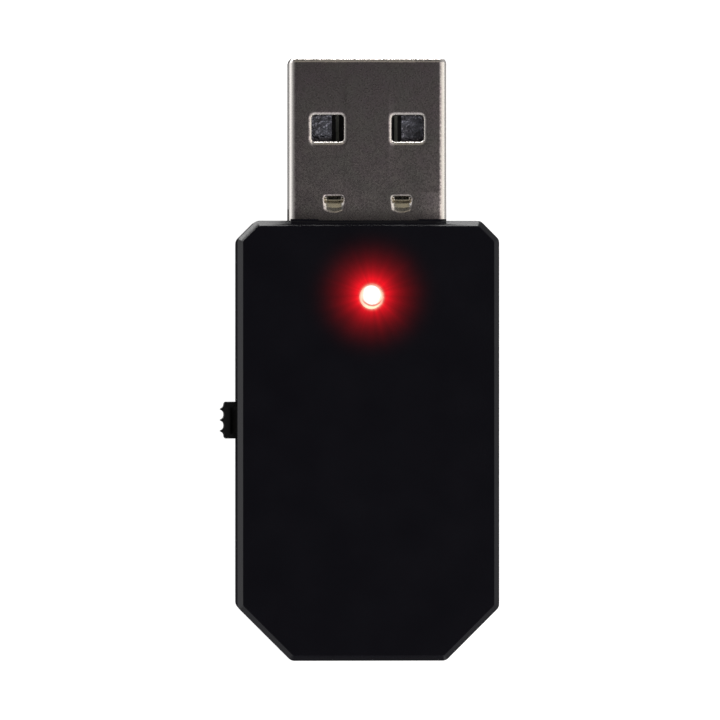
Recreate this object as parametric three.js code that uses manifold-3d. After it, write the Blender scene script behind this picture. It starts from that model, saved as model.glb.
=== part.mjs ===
// A USB-A radio adapter: a two-part octagonal plastic housing, a plug, a circuit board and a slide switch.
//
// Millimetres, +Z up. The adapter lies on its back: +Z points out of the front face with the indicator,
// +Y points along the plug, away from the housing, and the switch knob stands out towards -X.
// The origin is the middle of the housing's flat back.

import * as THREE from "three";
import { mergeVertices } from "three/addons/utils/BufferGeometryUtils.js";
import Module from "manifold-3d";

const wasm = await Module();
wasm.setup();

// ---------------------------------------------------------------- driving dimensions

const FIT = 0.1; // clearance between pieces that slide together
const SOLDER = 0.02; // thickness of the solder under a part
const CUT = 1; // how far a cutter runs past what it cuts
const ARC_STEPS = 4; // segments in a small rounded corner
const ROUND_STEPS = 32; // segments round a full circle

const HOUSING = { width: 19.85, length: 33.36, height: 8, corner: 0.6 };
const BEVEL = { inset: 0.4, height: 0.48 }; // round the front and back faces
const NOSE_CHAMFER = 1.42;
const TAIL_CHAMFER = 4.05;
const WALL = { side: 1.3, top: 1.2 };
const SEAM_Z = HOUSING.height / 2;
const LIP = { outer: 0.7, height: 0.7, gap: 0.05 };
const SNAP = { length: 2.4, height: 0.36, depth: 0.2 };

const NOSE_Y = HOUSING.length / 2;
const CAVITY_TOP_Z = HOUSING.height - WALL.top;

const SHELL = { width: 12, height: 4.5, wall: 0.3, corner: 0.6, bevel: 0.1 };
const PLUG_LENGTH = 12.32; // from the housing's nose to the plug's rim
const PLUG_TIP_Y = NOSE_Y + PLUG_LENGTH;
const PLUG_Z = SEAM_Z;
const SHELL_BACK_Y = NOSE_Y - 3.7;
const LEG = { length: 1.4, low: PLUG_Z - 1.9, high: PLUG_Z + 0.6 }; // the shell's legs, beside the board
const CRADLE = { behindWall: 1.2, length: 0.8 };
const WINDOW = { width: 2.4, length: 2.1, corner: 0.45, x: 3.03, fromTip: 5.27 };
const TAB = { width: 1.7, length: 1.15, corner: 0.45, x: 2.58, fromTip: 10.85, slope: 32 };
const SEAM_GAP = 0.06;

const CARRIER = { top: 3.92, backY: NOSE_Y - 3.1, blockY: NOSE_Y + 2.4, tipY: PLUG_TIP_Y - 0.5 };
const TAB_POCKET = { depth: 0.9, margin: 0.8 };
const TIP_NOTCH = { width: 0.6, length: 0.5, depth: 0.4 };
const CONTACT = { thickness: 0.2, bottom: 3.82, tailY: NOSE_Y - 4.6 };
const CONTACT_ROWS = [
  { name: "usb_contact_power", x: -3.55, width: 1.8, tipY: PLUG_TIP_Y - 1.3 },
  { name: "usb_contact_data_minus", x: -1, width: 1.35, tipY: PLUG_TIP_Y - 2.3 },
  { name: "usb_contact_data_plus", x: 1, width: 1.35, tipY: PLUG_TIP_Y - 2.3 },
  { name: "usb_contact_ground", x: 3.55, width: 1.8, tipY: PLUG_TIP_Y - 1.3 },
];

const BOARD = { top: 3.8, thickness: 1, halfWidth: 8.2, tailY: -15.1, shoulderY: NOSE_Y - 5.6 };
const BOARD_TAB = { halfWidth: 5.65, frontY: NOSE_Y - 3.3 };
const BOARD_TAIL_CHAMFER = 3.7;
const PARTS_Z = BOARD.top + SOLDER;
const ANTENNA = { width: 0.5, height: 0.05, strokes: 9, pitch: 1.05, lowY: -14.5, highY: -11, feedY: -8.6 };
const END_CAP = { share: 0.25, proud: 0.03 }; // of a two-ended part
const PIN = { radius: 0.5, hole: 0.65, bossRadius: 1.2, x: 7, y: 8 };

const LED = { x: 0.2, y: NOSE_Y - 5.8, width: 1.6, length: 0.8, baseHeight: 0.35, lensHeight: 0.4 };
const PIPE = { radius: 0.85, hole: 0.9, flangeRadius: 1.25, flangeHeight: 0.5, recess: 0.12, dome: 0.22 };
const PIPE_BOSS = { inner: 1.3, outer: 1.75, height: 0.6 };

const TRAVEL = 2; // of the switch, from the end by the plug towards the tail
const KNOB = { length: 2.8, height: 1.6, corner: 0.2, bevel: 0.08, centreZ: 4.9, y: 1.55, proud: 0.98 };
const RIB = { radius: 0.17, pitch: 0.83, proud: 0.3, count: 3 };
const SWITCH = { length: 8.6, frontX: -8.35, backX: -5.05, top: 6.3, sheet: 0.25 };
const SWITCH_Y = KNOB.y - TRAVEL / 2;
const SLIDER = { length: 5.2, depth: 1.4, bottom: 4.15, top: 5.85 };
const WIPER = { length: 3.2, width: 1.1, sheet: 0.2, rise: 0.48 };
const SWITCH_BASE = { frontX: -6, depth: 0.85, bottom: 3.95, top: 5.95 };
const TERMINAL = { width: 0.8, headHeight: 0.6, headProud: 0.08, sheet: 0.2, footLength: 0.8 };

// ---------------------------------------------------------------- materials

const paint = (color, roughness, metalness) =>
  new THREE.MeshStandardMaterial({ color, roughness, metalness });

const BLACK_GLOSS = paint(0x121216, 0.2, 0);
const BLACK_KNOB = paint(0x111112, 0.45, 0);
const BLACK_CARRIER = paint(0x17181b, 0.5, 0);
const NICKEL = paint(0xb9b4ac, 0.3, 1);
const CONTACT_PLATE = paint(0xb4b2b0, 0.3, 1);
const COPPER = paint(0xb87345, 0.35, 1);
const BRONZE = paint(0xb98a55, 0.35, 1);
const SOLDER_MASK = paint(0x16402a, 0.4, 0);
const CHIP_RESIN = paint(0x1b1b1d, 0.6, 0);
const FERRITE = paint(0x4a4744, 0.7, 0);
const CERAMIC = paint(0x9c7f5c, 0.5, 0);
const RESISTOR_GLAZE = paint(0x1c1a1a, 0.4, 0);
const LED_RESIN = paint(0xf4f0e6, 0.4, 0);
const RED_LENS = paint(0xff2a1c, 0.1, 0);
const CLEAR_PIPE = paint(0xffe4dc, 0.08, 0);

// ---------------------------------------------------------------- solids

// A closed three.js geometry as a manifold-3d solid, with its shared vertices merged.
function solidOf(geometry) {
  const bare = new THREE.BufferGeometry();
  bare.setAttribute("position", geometry.getAttribute("position"));
  if (geometry.index) bare.setIndex(geometry.index);
  const merged = mergeVertices(bare, 1e-4);
  const vertProperties = merged.attributes.position.array;
  const triVerts = new Uint32Array(merged.index.array);
  return new wasm.Manifold(new wasm.Mesh({ numProp: 3, vertProperties, triVerts }));
}

function geometryOf(solid) {
  const mesh = solid.getMesh();
  const geometry = new THREE.BufferGeometry();
  geometry.setAttribute("position", new THREE.BufferAttribute(new Float32Array(mesh.vertProperties), 3));
  geometry.setIndex(new THREE.BufferAttribute(new Uint32Array(mesh.triVerts), 1));
  return geometry;
}

const join = (...solids) => solids.reduce((whole, piece) => whole.add(piece));
const cut = (solid, ...cutters) => cutters.reduce((rest, cutter) => rest.subtract(cutter), solid);

// A block between two corners.
function block([x0, y0, z0], [x1, y1, z1]) {
  const geometry = new THREE.BoxGeometry(x1 - x0, y1 - y0, z1 - z0);
  geometry.translate((x0 + x1) / 2, (y0 + y1) / 2, (z0 + z1) / 2);
  return solidOf(geometry);
}

// A block of a size, centred in X and Y, that stands on a height.
const blockOn = (x, y, bottom, [width, length, height]) =>
  block([x - width / 2, y - length / 2, bottom], [x + width / 2, y + length / 2, bottom + height]);

// An upright cylinder.
function post(x, y, radius, bottom, top) {
  const geometry = new THREE.CylinderGeometry(radius, radius, top - bottom, ROUND_STEPS);
  geometry.rotateX(Math.PI / 2);
  geometry.translate(x, y, (bottom + top) / 2);
  return solidOf(geometry);
}

// A closed outline through corner points, each corner rounded to a true radius.
function roundedOutline(corners, radius) {
  const points = corners.flatMap(([x, y], i) => {
    const here = new THREE.Vector2(x, y);
    const back = new THREE.Vector2(...corners.at(i - 1)).sub(here).normalize();
    const ahead = new THREE.Vector2(...corners[(i + 1) % corners.length]).sub(here).normalize();
    const half = Math.acos(back.dot(ahead)) / 2;
    const centre = back.clone().add(ahead).setLength(radius / Math.sin(half)).add(here);
    const start = back.clone().setLength(radius / Math.tan(half)).add(here);
    const sweep = Math.sign(ahead.cross(back)) * (Math.PI - 2 * half);
    return Array.from({ length: ARC_STEPS + 1 }, (_, step) =>
      start.clone().rotateAround(centre, (sweep * step) / ARC_STEPS),
    );
  });
  return new THREE.Shape(points);
}

const rectangleCorners = (width, length) => [
  [-width / 2, -length / 2],
  [width / 2, -length / 2],
  [width / 2, length / 2],
  [-width / 2, length / 2],
];

const roundedRectangle = (width, length, radius) => roundedOutline(rectangleCorners(width, length), radius);

// A shape in the XY plane, raised from one height to another. A bevel at both ends takes its inset off the
// outline and its height off the sides.
function raised(shape, bottom, top, inset = 0, height = inset) {
  const geometry = new THREE.ExtrudeGeometry(shape, {
    depth: top - bottom - 2 * height,
    curveSegments: ARC_STEPS,
    bevelEnabled: inset > 0,
    bevelThickness: height,
    bevelSize: inset,
    bevelOffset: -inset,
    bevelSegments: 1,
  });
  geometry.translate(0, 0, bottom + height);
  return solidOf(geometry);
}

// A shape given as X and Z, drawn along Y.
function drawnAlongY(shape, startY, endY, bevel = 0) {
  return raised(shape, -endY, -startY, bevel).rotate([90, 0, 0]);
}

// A shape given as Y and Z, drawn along X.
function drawnAlongX(shape, startX, endX) {
  return raised(shape, startX, endX).rotate([90, 0, 90]);
}

// ---------------------------------------------------------------- housing

// The chamfered outline of the housing, moved in from the outside by an inset.
function housingOutline(inset) {
  const shortening = inset * (2 - Math.SQRT2);
  const x = HOUSING.width / 2 - inset;
  const y = HOUSING.length / 2 - inset;
  const nose = NOSE_CHAMFER - shortening;
  const tail = TAIL_CHAMFER - shortening;
  const corners = [
    [-x + tail, -y],
    [x - tail, -y],
    [x, -y + tail],
    [x, y - nose],
    [x - nose, y],
    [-x + nose, y],
    [-x, y - nose],
    [-x, -y + tail],
  ];
  return roundedOutline(corners, Math.max(HOUSING.corner - inset / 4, FIT));
}

const housingBlank = () => raised(housingOutline(0), 0, HOUSING.height, BEVEL.inset, BEVEL.height);

// Everything above or below the seam, as a cutter.
const halfSpace = (bottom, top) =>
  block([-HOUSING.width, -HOUSING.length, bottom], [HOUSING.width, HOUSING.length, top]);

// The shell's outside with a clearance, as a cutter along Y.
function plugEnvelope(clearance, startY, endY) {
  const section = roundedRectangle(
    SHELL.width + 2 * clearance,
    SHELL.height + 2 * clearance,
    SHELL.corner + clearance,
  );
  return drawnAlongY(section, startY, endY).translate([0, 0, PLUG_Z]);
}

// Where the snap lugs stand: along the two long walls, clear of the switch.
const SNAP_PLACES = [
  { x: 1, y: 6 },
  { x: 1, y: -7 },
  { x: -1, y: 9.5 },
  { x: -1, y: -7 },
];

// A snap lug, grown by a clearance when it cuts its own pocket.
function snapLug({ x, y }, clearance) {
  const wall = HOUSING.width / 2 - LIP.outer;
  const inner = x * (wall - SNAP.depth - CUT / 2);
  const outer = x * (wall + SNAP.depth - LIP.gap + clearance);
  const halfLength = SNAP.length / 2 + clearance;
  const z = SEAM_Z + LIP.height / 2;
  const halfHeight = SNAP.height / 2 + clearance / 2;
  return block(
    [Math.min(inner, outer), y - halfLength, z - halfHeight],
    [Math.max(inner, outer), y + halfLength, z + halfHeight],
  );
}

// The span along Y that the knob sweeps over its whole travel, with a margin at each end.
function knobSweep(margin) {
  const high = KNOB.y + KNOB.length / 2 + margin;
  const low = KNOB.y - TRAVEL - KNOB.length / 2 - margin;
  return [low, high];
}

// The opening for the knob in the left wall.
function knobSlot(margin) {
  const [low, high] = knobSweep(margin);
  const top = KNOB.centreZ + KNOB.height / 2 + margin;
  return block([-HOUSING.width, low, SEAM_Z - CUT], [-HOUSING.width / 2 + WALL.side + CUT, high, top]);
}

// Rib that cradles the plug shell, from the inside of a cover to the seam.
function plugCradle(bottom, top) {
  const halfWidth = HOUSING.width / 2 - WALL.side - FIT / 2;
  const backY = NOSE_Y - WALL.side - CRADLE.behindWall;
  return block([-halfWidth, backY, bottom], [halfWidth, backY + CRADLE.length, top]);
}

function frontCover() {
  const cavity = raised(housingOutline(WALL.side), SEAM_Z - CUT, CAVITY_TOP_Z);
  const groove = raised(housingOutline(LIP.outer - LIP.gap), SEAM_Z - CUT, SEAM_Z + LIP.height + LIP.gap);
  const shell = cut(housingBlank(), halfSpace(-CUT, SEAM_Z), cavity, groove);
  const cradle = plugCradle(SEAM_Z + LIP.height + FIT, CAVITY_TOP_Z + FIT);
  const pipeBoss = cut(
    post(LED.x, LED.y, PIPE_BOSS.outer, CAVITY_TOP_Z - PIPE_BOSS.height, CAVITY_TOP_Z + FIT),
    post(LED.x, LED.y, PIPE_BOSS.inner, CAVITY_TOP_Z - CUT, CAVITY_TOP_Z),
  );
  const pinBottom = BOARD.top - BOARD.thickness - 1;
  const pins = [1, -1].map((side) =>
    join(
      post(-side * PIN.x, side * PIN.y, PIN.radius, pinBottom, CAVITY_TOP_Z + FIT),
      post(-side * PIN.x, side * PIN.y, PIN.bossRadius, BOARD.top + FIT, CAVITY_TOP_Z + FIT),
    ),
  );
  const holdDowns = [1, -1].map((side) =>
    post(side * PIN.x, side * PIN.y, PIN.bossRadius, BOARD.top + FIT, CAVITY_TOP_Z + FIT),
  );
  return cut(
    join(shell, cradle, pipeBoss, ...pins, ...holdDowns),
    plugEnvelope(FIT, SHELL_BACK_Y - CUT, NOSE_Y + CUT),
    post(LED.x, LED.y, PIPE.hole, CAVITY_TOP_Z - CUT / 2, HOUSING.height + CUT),
    knobSlot(FIT),
    ...SNAP_PLACES.map((place) => snapLug(place, LIP.gap)),
  );
}

function rearCover() {
  const outside = cut(housingBlank(), halfSpace(SEAM_Z, HOUSING.height + CUT));
  const lip = raised(housingOutline(LIP.outer), SEAM_Z - FIT, SEAM_Z + LIP.height);
  const cavity = raised(housingOutline(WALL.side), WALL.top, HOUSING.height);
  const [slotLow, slotHigh] = knobSweep(4 * FIT);
  const lipGapAtSlot = block([-HOUSING.width, slotLow, SEAM_Z], [0, slotHigh, HOUSING.height]);
  const lugs = SNAP_PLACES.map((place) => snapLug(place, 0));
  const tray = cut(join(outside, lip, ...lugs), cavity, lipGapAtSlot);
  const cradle = plugCradle(WALL.top - FIT, SEAM_Z - FIT);
  const boardBottom = BOARD.top - BOARD.thickness;
  const supports = [1, -1].flatMap((side) => {
    const socket = cut(
      post(-side * PIN.x, side * PIN.y, PIN.bossRadius, WALL.top - FIT, boardBottom - SOLDER),
      post(-side * PIN.x, side * PIN.y, PIN.radius + FIT, WALL.top + FIT, HOUSING.height),
    );
    return [socket, post(side * PIN.x, side * PIN.y, PIN.bossRadius, WALL.top - FIT, boardBottom - SOLDER)];
  });
  return cut(join(tray, cradle, ...supports), plugEnvelope(FIT, SHELL_BACK_Y - CUT, NOSE_Y + CUT));
}

// Clear light pipe: a domed rod with a flange under the front cover. Its profile turns round +Z.
function lightPipe() {
  const foot = LED_TOP_Z + FIT;
  const flangeTop = CAVITY_TOP_Z - LIP.gap;
  const flangeBottom = flangeTop - PIPE.flangeHeight;
  const crown = HOUSING.height - PIPE.recess;
  const shoulder = crown - PIPE.dome;
  const profile = [
    [0, foot],
    [PIPE.radius, foot],
    [PIPE.radius, flangeBottom],
    [PIPE.flangeRadius, flangeBottom],
    [PIPE.flangeRadius, flangeTop],
    [PIPE.radius, flangeTop],
  ].map(([r, z]) => new THREE.Vector2(r, z));
  for (let i = 0; i <= ARC_STEPS; i += 1) {
    const turn = ((i / ARC_STEPS) * Math.PI) / 2;
    profile.push(new THREE.Vector2(PIPE.radius * Math.cos(turn), shoulder + PIPE.dome * Math.sin(turn)));
  }
  profile.at(-1).x = 0;
  const geometry = new THREE.LatheGeometry(profile, ROUND_STEPS);
  geometry.rotateX(Math.PI / 2);
  geometry.translate(LED.x, LED.y, 0);
  return solidOf(geometry);
}

// ---------------------------------------------------------------- plug

// Retention tab: an opening in the shell's top and a tongue bent down into it from its lower edge.
function retentionTab(x) {
  const topZ = PLUG_Z + SHELL.height / 2;
  const y = PLUG_TIP_Y - TAB.fromTip;
  const opening = raised(
    roundedRectangle(TAB.width, TAB.length, TAB.corner),
    topZ - SHELL.wall - FIT / 2,
    topZ + CUT,
  ).translate([x, y, 0]);
  const tongueLength = TAB.length * 0.8;
  const tongue = block(
    [-TAB.width / 2 + TAB.corner, -SHELL.wall, -SHELL.wall],
    [TAB.width / 2 - TAB.corner, tongueLength, 0],
  )
    .rotate([-TAB.slope, 0, 0])
    .translate([x, y - TAB.length / 2, topZ - FIT / 2]);
  return { opening, tongue };
}

function usbShell() {
  const { width, height, wall, corner, bevel } = SHELL;
  const outside = drawnAlongY(roundedRectangle(width, height, corner), SHELL_BACK_Y, PLUG_TIP_Y, bevel);
  const inside = drawnAlongY(
    roundedRectangle(width - 2 * wall, height - 2 * wall, corner - wall),
    SHELL_BACK_Y - CUT,
    PLUG_TIP_Y + CUT,
  );
  const windows = [-WINDOW.x, WINDOW.x].map((x) =>
    raised(roundedRectangle(WINDOW.width, WINDOW.length, WINDOW.corner), -height, height).translate([
      x,
      PLUG_TIP_Y - WINDOW.fromTip,
      0,
    ]),
  );
  const seam = block([-SEAM_GAP / 2, SHELL_BACK_Y - CUT, -height], [SEAM_GAP / 2, PLUG_TIP_Y + CUT, 0]);
  const tube = cut(outside, inside, seam, ...windows).translate([0, 0, PLUG_Z]);
  const legs = [-1, 1].map((side) => {
    const outerX = (side * width) / 2;
    const innerX = side * (width / 2 - wall);
    return block(
      [Math.min(innerX, outerX), SHELL_BACK_Y - LEG.length, LEG.low],
      [Math.max(innerX, outerX), SHELL_BACK_Y + CUT, LEG.high],
    );
  });
  const tabs = [-TAB.x, TAB.x].map(retentionTab);
  const open = cut(tube, ...tabs.map((tab) => tab.opening));
  return join(open, ...legs, ...tabs.map((tab) => tab.tongue));
}

function usbInsulator() {
  const inset = SHELL.wall + FIT / 2;
  const halfWidth = SHELL.width / 2 - inset;
  const floorZ = PLUG_Z - SHELL.height / 2 + inset;
  const ceilingZ = PLUG_Z + SHELL.height / 2 - inset;
  const backBlock = block([-halfWidth, CARRIER.backY, floorZ], [halfWidth, CARRIER.blockY, ceilingZ]);
  const tongue = block([-halfWidth, CARRIER.blockY - CUT, floorZ], [halfWidth, CARRIER.tipY, CARRIER.top]);
  const slots = CONTACT_ROWS.map(({ x, width, tipY }) =>
    block(
      [x - width / 2 - SOLDER, CARRIER.backY - CUT, CONTACT.bottom - SOLDER],
      [x + width / 2 + SOLDER, tipY + FIT, CONTACT.bottom + CONTACT.thickness + SOLDER],
    ),
  );
  const pocketSize = [TAB.width + FIT, TAB.length + TAB_POCKET.margin, TAB_POCKET.depth + CUT];
  const tabPockets = [-TAB.x, TAB.x].map((x) =>
    blockOn(x, PLUG_TIP_Y - TAB.fromTip, ceilingZ - TAB_POCKET.depth, pocketSize),
  );
  const frontNotches = CONTACT_ROWS.map(({ x }) =>
    block(
      [x - TIP_NOTCH.width / 2, CARRIER.tipY - TIP_NOTCH.length, CARRIER.top - TIP_NOTCH.depth],
      [x + TIP_NOTCH.width / 2, CARRIER.tipY + CUT, CARRIER.top + CUT],
    ),
  );
  const bore = plugEnvelope(-inset, CARRIER.backY, CARRIER.tipY);
  return cut(join(backBlock, tongue).intersect(bore), ...slots, ...tabPockets, ...frontNotches);
}

// A contact strip: flat along the carrier, its tip turned down, its tail on the board.
function usbContact({ x, width, tipY }) {
  const { thickness, bottom, tailY } = CONTACT;
  const top = bottom + thickness;
  const profile = new THREE.Shape();
  profile.moveTo(tailY, bottom);
  profile.lineTo(tipY, bottom);
  profile.lineTo(tipY, top - thickness / 2);
  profile.quadraticCurveTo(tipY, top, tipY - thickness, top);
  profile.lineTo(tailY, top);
  profile.closePath();
  return drawnAlongX(profile, x - width / 2, x + width / 2);
}

// ---------------------------------------------------------------- board and its parts

function circuitBoard() {
  const { halfWidth, tailY, shoulderY, top, thickness } = BOARD;
  const corners = [
    [-halfWidth + BOARD_TAIL_CHAMFER, tailY],
    [halfWidth - BOARD_TAIL_CHAMFER, tailY],
    [halfWidth, tailY + BOARD_TAIL_CHAMFER],
    [halfWidth, shoulderY],
    [BOARD_TAB.halfWidth, shoulderY],
    [BOARD_TAB.halfWidth, BOARD_TAB.frontY],
    [-BOARD_TAB.halfWidth, BOARD_TAB.frontY],
    [-BOARD_TAB.halfWidth, shoulderY],
    [-halfWidth, shoulderY],
    [-halfWidth, tailY + BOARD_TAIL_CHAMFER],
  ];
  const blank = raised(roundedOutline(corners, FIT), top - thickness, top);
  const pinHoles = [1, -1].map((side) =>
    post(-side * PIN.x, side * PIN.y, PIN.hole, top - thickness - CUT, top + CUT),
  );
  return cut(blank, ...pinHoles);
}

// Printed meander antenna on the tail of the board: one strip that runs up and down in equal strokes.
function antennaTrace() {
  const { width, height, strokes, pitch, lowY, highY, feedY } = ANTENNA;
  const startX = (-pitch * (strokes - 1)) / 2;
  const half = width / 2;
  const strips = [];
  for (let i = 0; i < strokes; i += 1) {
    const x = startX + i * pitch;
    const top = i === strokes - 1 ? feedY : highY;
    strips.push(block([x - half, lowY, PARTS_Z], [x + half, top, PARTS_Z + height]));
    if (i < strokes - 1) {
      const linkY = i % 2 ? lowY + half : highY - half;
      strips.push(blockOn(x + pitch / 2, linkY, PARTS_Z, [pitch, width, height]));
    }
  }
  return join(...strips);
}

// A moulded or ceramic surface-mount body with its top edges bevelled.
function chipBody({ x, y, size: [width, length, height], bevel }) {
  const outline = roundedRectangle(width, length, 2 * bevel);
  return raised(outline, PARTS_Z, PARTS_Z + height, bevel).translate([x, y, 0]);
}

// A two-ended part: a body between two end caps that stand a little proud of it.
function endCappedBody({ x, y, size: [width, length, height], turned }) {
  const capLength = length * END_CAP.share;
  const { proud } = END_CAP;
  const middleSize = [width - 2 * proud, length - 2 * capLength + FIT, height - 2 * proud];
  const middle = blockOn(0, 0, PARTS_Z + proud, middleSize);
  const caps = [-1, 1].map((side) =>
    blockOn(0, (side * (length - capLength)) / 2, PARTS_Z, [width, capLength, height]),
  );
  return join(middle, ...caps)
    .rotate([0, 0, turned ? 90 : 0])
    .translate([x, y, 0]);
}

const BOARD_CHIPS = [
  { name: "radio_chip", x: 1.2, y: 0.6, size: [5, 5, 0.85], bevel: 0.08, material: CHIP_RESIN },
  { name: "crystal", x: 5.9, y: 2.4, size: [2.5, 3.2, 0.75], bevel: 0.12, material: NICKEL },
  { name: "memory_chip", x: 5.7, y: -2.6, size: [3, 4, 0.7], bevel: 0.08, material: CHIP_RESIN },
  { name: "voltage_regulator", x: -3, y: 7.1, size: [2, 2.2, 0.8], bevel: 0.08, material: CHIP_RESIN },
  { name: "power_inductor", x: 2.9, y: 7, size: [2.5, 2, 1.2], bevel: 0.15, material: FERRITE },
];

const CAPACITOR_SIZE = [0.8, 1.6, 0.8];
const RESISTOR_SIZE = [0.5, 1, 0.35];

const BOARD_PASSIVES = [
  { name: "capacitor_1", x: -0.6, y: 7.1, size: CAPACITOR_SIZE, material: CERAMIC },
  { name: "capacitor_2", x: 0.6, y: 7.1, size: CAPACITOR_SIZE, material: CERAMIC },
  { name: "capacitor_3", x: 1.6, y: -3.6, size: CAPACITOR_SIZE, turned: true, material: CERAMIC },
  { name: "capacitor_4", x: 4.2, y: -7.2, size: CAPACITOR_SIZE, material: CERAMIC },
  { name: "capacitor_5", x: 5.9, y: 5.4, size: CAPACITOR_SIZE, turned: true, material: CERAMIC },
  { name: "resistor_1", x: -2.6, y: 10, size: RESISTOR_SIZE, material: RESISTOR_GLAZE },
  { name: "resistor_2", x: -2.4, y: -3.4, size: RESISTOR_SIZE, material: RESISTOR_GLAZE },
  { name: "resistor_3", x: -1.2, y: -3.4, size: RESISTOR_SIZE, material: RESISTOR_GLAZE },
];

// ---------------------------------------------------------------- indicator

const LED_BASE_TOP_Z = PARTS_Z + LED.baseHeight;
const LED_LENS_Z = LED_BASE_TOP_Z + SOLDER;
const LED_TOP_Z = LED_LENS_Z + LED.lensHeight;

const ledBase = () => blockOn(LED.x, LED.y, PARTS_Z, [LED.width, LED.length, LED.baseHeight]);

// The lens moulded on the indicator's base, with sloping ends.
function ledLens() {
  const halfFoot = LED.width * 0.36;
  const halfCrown = LED.width * 0.28;
  const profile = new THREE.Shape();
  profile.moveTo(-halfFoot, LED_LENS_Z);
  profile.lineTo(halfFoot, LED_LENS_Z);
  profile.lineTo(halfCrown, LED_TOP_Z);
  profile.lineTo(-halfCrown, LED_TOP_Z);
  profile.closePath();
  return drawnAlongY(profile, LED.y - LED.length / 2, LED.y + LED.length / 2).translate([LED.x, 0, 0]);
}

// ---------------------------------------------------------------- slide switch

// One travel apart, so that the wiper joins the middle terminal to the one at either end.
const TERMINAL_YS = [-1, 0, 1].map((place) => SWITCH_Y + place * TRAVEL);

// Stamped steel frame: a top plate, two ends and a slotted front folded down from it.
function switchFrame() {
  const { length, frontX, backX, top, sheet } = SWITCH;
  const low = SWITCH_Y - length / 2;
  const high = SWITCH_Y + length / 2;
  const outside = block([frontX, low, PARTS_Z], [backX, high, top]);
  const inside = block(
    [frontX + sheet, low + sheet, PARTS_Z - CUT],
    [backX + CUT, high - sheet, top - sheet],
  );
  const [slotLow, slotHigh] = knobSweep(FIT / 2);
  const slot = block([frontX - CUT, slotLow, PARTS_Z - CUT], [frontX + CUT / 2, slotHigh, SLIDER.top]);
  const relief = block([frontX - CUT, low + 2, top - CUT / 2], [frontX + FIT, high - 2, top + CUT]);
  return cut(outside, inside, slot, relief);
}

function switchBase() {
  const { frontX, depth, bottom, top } = SWITCH_BASE;
  const halfLength = SWITCH.length / 2 - SWITCH.sheet - FIT / 2;
  const body = block(
    [frontX, SWITCH_Y - halfLength, bottom],
    [frontX + depth, SWITCH_Y + halfLength, top],
  );
  const holes = TERMINAL_YS.map((y) => terminalHead(y, SOLDER));
  return cut(body, ...holes);
}

// The head of a terminal, which reaches through the base to face the wiper.
function terminalHead(y, clearance) {
  const z = (SWITCH_BASE.bottom + SWITCH_BASE.top) / 2;
  const halfWidth = TERMINAL.width / 2 + clearance;
  const halfHeight = TERMINAL.headHeight / 2 + clearance;
  const frontX = SWITCH_BASE.frontX - TERMINAL.headProud;
  const backX = SWITCH_BASE.frontX + SWITCH_BASE.depth + FIT;
  return block([frontX - clearance, y - halfWidth, z - halfHeight], [backX, y + halfWidth, z + halfHeight]);
}

// A terminal: its head, a riser behind the base and a foot that lies on the board.
function switchTerminal(y) {
  const backX = SWITCH_BASE.frontX + SWITCH_BASE.depth + SOLDER;
  const halfWidth = TERMINAL.width / 2;
  const riser = block(
    [backX, y - halfWidth, PARTS_Z],
    [backX + TERMINAL.sheet, y + halfWidth, SWITCH_BASE.top - 0.5],
  );
  const foot = block(
    [backX, y - halfWidth, PARTS_Z],
    [backX + TERMINAL.footLength, y + halfWidth, PARTS_Z + TERMINAL.sheet],
  );
  return join(terminalHead(y, 0), riser, foot);
}

const SLIDER_FRONT_X = SWITCH.frontX + SWITCH.sheet + FIT;
const SLIDER_BACK_X = SLIDER_FRONT_X + SLIDER.depth;
const KNOB_FACE_X = -HOUSING.width / 2 - KNOB.proud;

// The slider with its knob: a bar inside the frame, a block through both slots and three ribs on its face.
function switchKnob() {
  const halfHeight = KNOB.height / 2;
  const bar = block(
    [SLIDER_FRONT_X, KNOB.y - SLIDER.length / 2, SLIDER.bottom],
    [SLIDER_BACK_X, KNOB.y + SLIDER.length / 2, SLIDER.top - FIT],
  );
  const section = roundedRectangle(KNOB.height, KNOB.length, KNOB.corner);
  const knob = raised(section, KNOB_FACE_X, SLIDER_FRONT_X + FIT, KNOB.bevel)
    .rotate([0, 90, 0])
    .translate([0, KNOB.y, KNOB.centreZ]);
  const ribs = Array.from({ length: RIB.count }, (_, i) => {
    const y = KNOB.y + (i - (RIB.count - 1) / 2) * RIB.pitch;
    const rootX = KNOB_FACE_X + FIT;
    const crownX = KNOB_FACE_X - RIB.proud + RIB.radius;
    const bottom = KNOB.centreZ - halfHeight;
    const top = KNOB.centreZ + halfHeight;
    return join(
      block([crownX, y - RIB.radius, bottom], [rootX, y + RIB.radius, top]),
      post(crownX, y, RIB.radius, bottom, top),
    );
  });
  return join(bar, knob, ...ribs);
}

// The spring strip carried in the slider's back, bent so that its two crowns meet neighbouring terminals.
function switchWiper() {
  const { length, width, sheet, rise } = WIPER;
  const bends = [-length / 2, -TRAVEL / 2, 0, TRAVEL / 2, length / 2];
  const line = bends.map((y, i) => new THREE.Vector2(SLIDER_BACK_X + SOLDER + (i % 2) * (rise - sheet), y));
  const farSide = line.map((point) => new THREE.Vector2(point.x + sheet, point.y)).reverse();
  const section = new THREE.Shape([...line, ...farSide]);
  return raised(section, KNOB.centreZ - width / 2, KNOB.centreZ + width / 2).translate([0, KNOB.y, 0]);
}

// ---------------------------------------------------------------- assembly

const adapter = new THREE.Group();

function add(name, solid, material) {
  const mesh = new THREE.Mesh(geometryOf(solid), material);
  mesh.name = name;
  adapter.add(mesh);
}

add("front_cover", frontCover(), BLACK_GLOSS);
add("rear_cover", rearCover(), BLACK_GLOSS);
add("light_pipe", lightPipe(), CLEAR_PIPE);
add("led_base", ledBase(), LED_RESIN);
add("led_lens", ledLens(), RED_LENS);

add("usb_shell", usbShell(), NICKEL);
add("usb_insulator", usbInsulator(), BLACK_CARRIER);
CONTACT_ROWS.forEach((row) => add(row.name, usbContact(row), CONTACT_PLATE));

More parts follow.
